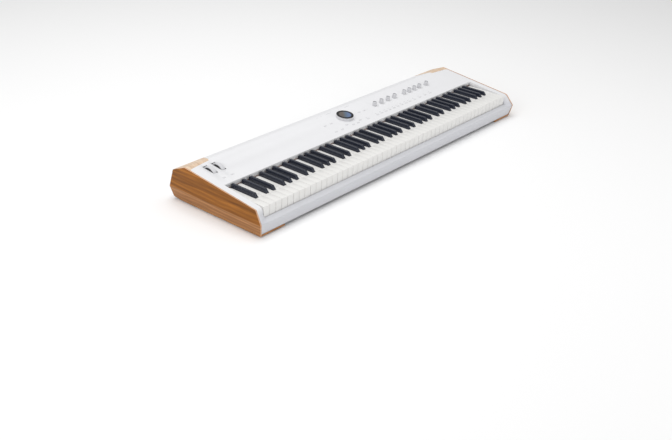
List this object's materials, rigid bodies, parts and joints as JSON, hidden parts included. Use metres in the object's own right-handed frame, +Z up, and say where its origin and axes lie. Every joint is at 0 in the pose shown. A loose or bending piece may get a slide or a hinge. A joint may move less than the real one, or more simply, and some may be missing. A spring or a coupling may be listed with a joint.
{
  "type": "digital piano",
  "caption": "Portable stage piano: weighted keys, two performance wheels, a round display in a turning dial, rotary knobs, push buttons, white covers and solid wood sides.",
  "frame": {"origin": "middle of the case's plan, on the surface under the rubber feet", "axes": "+X to the treble end, +Y to the back, +Z up"},
  "size_m": [1.29, 0.367, 0.1197],
  "materials": {
    "tray_metal": "satin",
    "cover_white": "satin",
    "wood_side": "gloss lacquer",
    "wood_pale": "satin lacquer",
    "wood_base": "satin lacquer",
    "frame_steel": "brushed",
    "rod_steel": "polished",
    "hammer_steel": "satin",
    "circuit_green": "satin",
    "circuit_dark": "satin",
    "felt_brown": "felt",
    "bay_grey": "matte",
    "socket_black": "matte",
    "bracket_metal": "satin",
    "wheel_white": "satin",
    "dial_white": "satin",
    "bezel_black": "gloss",
    "lens_glass": "gloss",
    "knob_white": "satin",
    "button_grey": "satin",
    "foot_rubber": "matte",
    "screw_steel": "zinc plated",
    "key_white": "gloss",
    "key_black": "satin"
  },
  "bodies": {
    "case": {"key_frame": "frame_steel", "pivot_rods": "rod_steel", "key_contact_board": "circuit_green", "felt_strips": "felt_brown", "base_tray": "tray_metal", "front_rail": "cover_white", "rear_panel": "cover_white", "left_end_block": "cover_white", "right_end_block": "cover_white", "right_side_panel": "wood_side", "left_side_panel": "wood_side", "base_boards": "wood_base", "corner_caps": "wood_pale", "top_cover": "cover_white", "wheel_bracket": "bracket_metal", "display_bezel": "bezel_black", "display_lens": "lens_glass", "control_board": "circuit_dark", "jack_plate": "bay_grey", "rear_sockets": "socket_black", "rubber_feet": "foot_rubber", "case_screws": "screw_steel"},
    "keys_c": {"keys_c": "key_white"},
    "hammers_c": {"hammers_c": "hammer_steel"},
    "keys_c_sharp": {"keys_c_sharp": "key_black"},
    "hammers_c_sharp": {"hammers_c_sharp": "hammer_steel"},
    "keys_d": {"keys_d": "key_white"},
    "hammers_d": {"hammers_d": "hammer_steel"},
    "keys_d_sharp": {"keys_d_sharp": "key_black"},
    "hammers_d_sharp": {"hammers_d_sharp": "hammer_steel"},
    "keys_e": {"keys_e": "key_white"},
    "hammers_e": {"hammers_e": "hammer_steel"},
    "keys_f": {"keys_f": "key_white"},
    "hammers_f": {"hammers_f": "hammer_steel"},
    "keys_f_sharp": {"keys_f_sharp": "key_black"},
    "hammers_f_sharp": {"hammers_f_sharp": "hammer_steel"},
    "keys_g": {"keys_g": "key_white"},
    "hammers_g": {"hammers_g": "hammer_steel"},
    "keys_g_sharp": {"keys_g_sharp": "key_black"},
    "hammers_g_sharp": {"hammers_g_sharp": "hammer_steel"},
    "keys_a": {"keys_a": "key_white"},
    "hammers_a": {"hammers_a": "hammer_steel"},
    "keys_a_sharp": {"keys_a_sharp": "key_black"},
    "hammers_a_sharp": {"hammers_a_sharp": "hammer_steel"},
    "keys_b": {"keys_b": "key_white"},
    "hammers_b": {"hammers_b": "hammer_steel"},
    "knob_1": {"knob_1": "knob_white"},
    "knob_2": {"knob_2": "knob_white"},
    "knob_3": {"knob_3": "knob_white"},
    "knob_4": {"knob_4": "knob_white"},
    "knob_5": {"knob_5": "knob_white"},
    "knob_6": {"knob_6": "knob_white"},
    "knob_7": {"knob_7": "knob_white"},
    "knob_8": {"knob_8": "knob_white"},
    "knob_9": {"knob_9": "knob_white"},
    "dial": {"dial_ring": "dial_white"},
    "pitch_wheel": {"pitch_wheel": "wheel_white"},
    "mod_wheel": {"mod_wheel": "wheel_white"},
    "row_buttons": {"row_buttons": "button_grey"},
    "panel_buttons": {"panel_buttons": "button_grey"}
  },
  "joints": [
    {"name": "c_keys_press", "type": "hinge", "parent": "case", "child": "keys_c", "pos_m": [0, 0.0345, 0.072], "axis": [1, 0, 0], "range_deg": [0, 2.91], "stiffness_Nm_per_rad": 2, "springref_deg": -8.59},
    {"name": "c_sharp_keys_press", "type": "hinge", "parent": "case", "child": "keys_c_sharp", "pos_m": [0, 0.0345, 0.072], "axis": [1, 0, 0], "range_deg": [0, 2.91], "stiffness_Nm_per_rad": 2, "springref_deg": -8.59},
    {"name": "d_keys_press", "type": "hinge", "parent": "case", "child": "keys_d", "pos_m": [0, 0.0345, 0.072], "axis": [1, 0, 0], "range_deg": [0, 2.91], "stiffness_Nm_per_rad": 2, "springref_deg": -8.59},
    {"name": "d_sharp_keys_press", "type": "hinge", "parent": "case", "child": "keys_d_sharp", "pos_m": [0, 0.0345, 0.072], "axis": [1, 0, 0], "range_deg": [0, 2.91], "stiffness_Nm_per_rad": 2, "springref_deg": -8.59},
    {"name": "e_keys_press", "type": "hinge", "parent": "case", "child": "keys_e", "pos_m": [0, 0.0345, 0.072], "axis": [1, 0, 0], "range_deg": [0, 2.91], "stiffness_Nm_per_rad": 2, "springref_deg": -8.59},
    {"name": "f_keys_press", "type": "hinge", "parent": "case", "child": "keys_f", "pos_m": [0, 0.0345, 0.072], "axis": [1, 0, 0], "range_deg": [0, 2.91], "stiffness_Nm_per_rad": 2, "springref_deg": -8.59},
    {"name": "f_sharp_keys_press", "type": "hinge", "parent": "case", "child": "keys_f_sharp", "pos_m": [0, 0.0345, 0.072], "axis": [1, 0, 0], "range_deg": [0, 2.91], "stiffness_Nm_per_rad": 2, "springref_deg": -8.59},
    {"name": "g_keys_press", "type": "hinge", "parent": "case", "child": "keys_g", "pos_m": [0, 0.0345, 0.072], "axis": [1, 0, 0], "range_deg": [0, 2.91], "stiffness_Nm_per_rad": 2, "springref_deg": -8.59},
    {"name": "g_sharp_keys_press", "type": "hinge", "parent": "case", "child": "keys_g_sharp", "pos_m": [0, 0.0345, 0.072], "axis": [1, 0, 0], "range_deg": [0, 2.91], "stiffness_Nm_per_rad": 2, "springref_deg": -8.59},
    {"name": "a_keys_press", "type": "hinge", "parent": "case", "child": "keys_a", "pos_m": [0, 0.0345, 0.072], "axis": [1, 0, 0], "range_deg": [0, 2.91], "stiffness_Nm_per_rad": 2, "springref_deg": -8.59},
    {"name": "a_sharp_keys_press", "type": "hinge", "parent": "case", "child": "keys_a_sharp", "pos_m": [0, 0.0345, 0.072], "axis": [1, 0, 0], "range_deg": [0, 2.91], "stiffness_Nm_per_rad": 2, "springref_deg": -8.59},
    {"name": "b_keys_press", "type": "hinge", "parent": "case", "child": "keys_b", "pos_m": [0, 0.0345, 0.072], "axis": [1, 0, 0], "range_deg": [0, 2.91], "stiffness_Nm_per_rad": 2, "springref_deg": -8.59},
    {"name": "c_hammers_lift", "type": "hinge", "parent": "case", "child": "hammers_c", "pos_m": [0, -0.0425, 0.033], "axis": [1, 0, 0], "range_deg": [0, 12]},
    {"name": "c_sharp_hammers_lift", "type": "hinge", "parent": "case", "child": "hammers_c_sharp", "pos_m": [0, -0.0425, 0.033], "axis": [1, 0, 0], "range_deg": [0, 12]},
    {"name": "d_hammers_lift", "type": "hinge", "parent": "case", "child": "hammers_d", "pos_m": [0, -0.0425, 0.033], "axis": [1, 0, 0], "range_deg": [0, 12]},
    {"name": "d_sharp_hammers_lift", "type": "hinge", "parent": "case", "child": "hammers_d_sharp", "pos_m": [0, -0.0425, 0.033], "axis": [1, 0, 0], "range_deg": [0, 12]},
    {"name": "e_hammers_lift", "type": "hinge", "parent": "case", "child": "hammers_e", "pos_m": [0, -0.0425, 0.033], "axis": [1, 0, 0], "range_deg": [0, 12]},
    {"name": "f_hammers_lift", "type": "hinge", "parent": "case", "child": "hammers_f", "pos_m": [0, -0.0425, 0.033], "axis": [1, 0, 0], "range_deg": [0, 12]},
    {"name": "f_sharp_hammers_lift", "type": "hinge", "parent": "case", "child": "hammers_f_sharp", "pos_m": [0, -0.0425, 0.033], "axis": [1, 0, 0], "range_deg": [0, 12]},
    {"name": "g_hammers_lift", "type": "hinge", "parent": "case", "child": "hammers_g", "pos_m": [0, -0.0425, 0.033], "axis": [1, 0, 0], "range_deg": [0, 12]},
    {"name": "g_sharp_hammers_lift", "type": "hinge", "parent": "case", "child": "hammers_g_sharp", "pos_m": [0, -0.0425, 0.033], "axis": [1, 0, 0], "range_deg": [0, 12]},
    {"name": "a_hammers_lift", "type": "hinge", "parent": "case", "child": "hammers_a", "pos_m": [0, -0.0425, 0.033], "axis": [1, 0, 0], "range_deg": [0, 12]},
    {"name": "a_sharp_hammers_lift", "type": "hinge", "parent": "case", "child": "hammers_a_sharp", "pos_m": [0, -0.0425, 0.033], "axis": [1, 0, 0], "range_deg": [0, 12]},
    {"name": "b_hammers_lift", "type": "hinge", "parent": "case", "child": "hammers_b", "pos_m": [0, -0.0425, 0.033], "axis": [1, 0, 0], "range_deg": [0, 12]},
    {"name": "knob_1_turn", "type": "hinge", "parent": "case", "child": "knob_1", "pos_m": [0.15, 0.06394, 0.11789], "axis": [0, -0.1201, 0.9928], "range_deg": [-150, 150]},
    {"name": "knob_2_turn", "type": "hinge", "parent": "case", "child": "knob_2", "pos_m": [0.1863, 0.06394, 0.11789], "axis": [0, -0.1201, 0.9928], "range_deg": [-150, 150]},
    {"name": "knob_3_turn", "type": "hinge", "parent": "case", "child": "knob_3", "pos_m": [0.2226, 0.06394, 0.11789], "axis": [0, -0.1201, 0.9928], "range_deg": [-150, 150]},
    {"name": "knob_4_turn", "type": "hinge", "parent": "case", "child": "knob_4", "pos_m": [0.2589, 0.06394, 0.11789], "axis": [0, -0.1201, 0.9928], "range_deg": [-150, 150]},
    {"name": "knob_5_turn", "type": "hinge", "parent": "case", "child": "knob_5", "pos_m": [0.314, 0.06394, 0.11789], "axis": [0, -0.1201, 0.9928], "range_deg": [-150, 150]},
    {"name": "knob_6_turn", "type": "hinge", "parent": "case", "child": "knob_6", "pos_m": [0.3438, 0.06394, 0.11789], "axis": [0, -0.1201, 0.9928], "range_deg": [-150, 150]},
    {"name": "knob_7_turn", "type": "hinge", "parent": "case", "child": "knob_7", "pos_m": [0.3736, 0.06394, 0.11789], "axis": [0, -0.1201, 0.9928], "range_deg": [-150, 150]},
    {"name": "knob_8_turn", "type": "hinge", "parent": "case", "child": "knob_8", "pos_m": [0.4034, 0.06394, 0.11789], "axis": [0, -0.1201, 0.9928], "range_deg": [-150, 150]},
    {"name": "knob_9_turn", "type": "hinge", "parent": "case", "child": "knob_9", "pos_m": [0.445, 0.06394, 0.11789], "axis": [0, -0.1201, 0.9928], "range_deg": [-150, 150]},
    {"name": "dial_turn", "type": "hinge", "parent": "case", "child": "dial", "pos_m": [-0.007, 0.06326, 0.11509], "axis": [0, -0.1201, 0.9928], "continuous": true},
    {"name": "pitch_wheel_turn", "type": "hinge", "parent": "case", "child": "pitch_wheel", "pos_m": [-0.5855, 0.07566, 0.08808], "axis": [1, 0, 0], "range_deg": [-30, 30], "stiffness_Nm_per_rad": 0.2},
    {"name": "mod_wheel_turn", "type": "hinge", "parent": "case", "child": "mod_wheel", "pos_m": [-0.5535, 0.07566, 0.08808], "axis": [1, 0, 0], "range_deg": [-35, 35]},
    {"name": "row_buttons_press", "type": "slide", "parent": "case", "child": "row_buttons", "axis": [0, -0.1201, 0.9928], "range_m": [-0.0008, 0], "stiffness_N_per_m": 800, "springref_m": 0.0005},
    {"name": "panel_buttons_press", "type": "slide", "parent": "case", "child": "panel_buttons", "axis": [0, -0.1201, 0.9928], "range_m": [-0.0008, 0], "stiffness_N_per_m": 800, "springref_m": 0.0005}
  ],
  "couplings": [
    {"joint": "c_hammers_lift", "follows": "c_keys_press", "ratio": 4.08},
    {"joint": "c_sharp_hammers_lift", "follows": "c_sharp_keys_press", "ratio": 4.08},
    {"joint": "d_hammers_lift", "follows": "d_keys_press", "ratio": 4.08},
    {"joint": "d_sharp_hammers_lift", "follows": "d_sharp_keys_press", "ratio": 4.08},
    {"joint": "e_hammers_lift", "follows": "e_keys_press", "ratio": 4.08},
    {"joint": "f_hammers_lift", "follows": "f_keys_press", "ratio": 4.08},
    {"joint": "f_sharp_hammers_lift", "follows": "f_sharp_keys_press", "ratio": 4.08},
    {"joint": "g_hammers_lift", "follows": "g_keys_press", "ratio": 4.08},
    {"joint": "g_sharp_hammers_lift", "follows": "g_sharp_keys_press", "ratio": 4.08},
    {"joint": "a_hammers_lift", "follows": "a_keys_press", "ratio": 4.08},
    {"joint": "a_sharp_hammers_lift", "follows": "a_sharp_keys_press", "ratio": 4.08},
    {"joint": "b_hammers_lift", "follows": "b_keys_press", "ratio": 4.08}
  ]
}
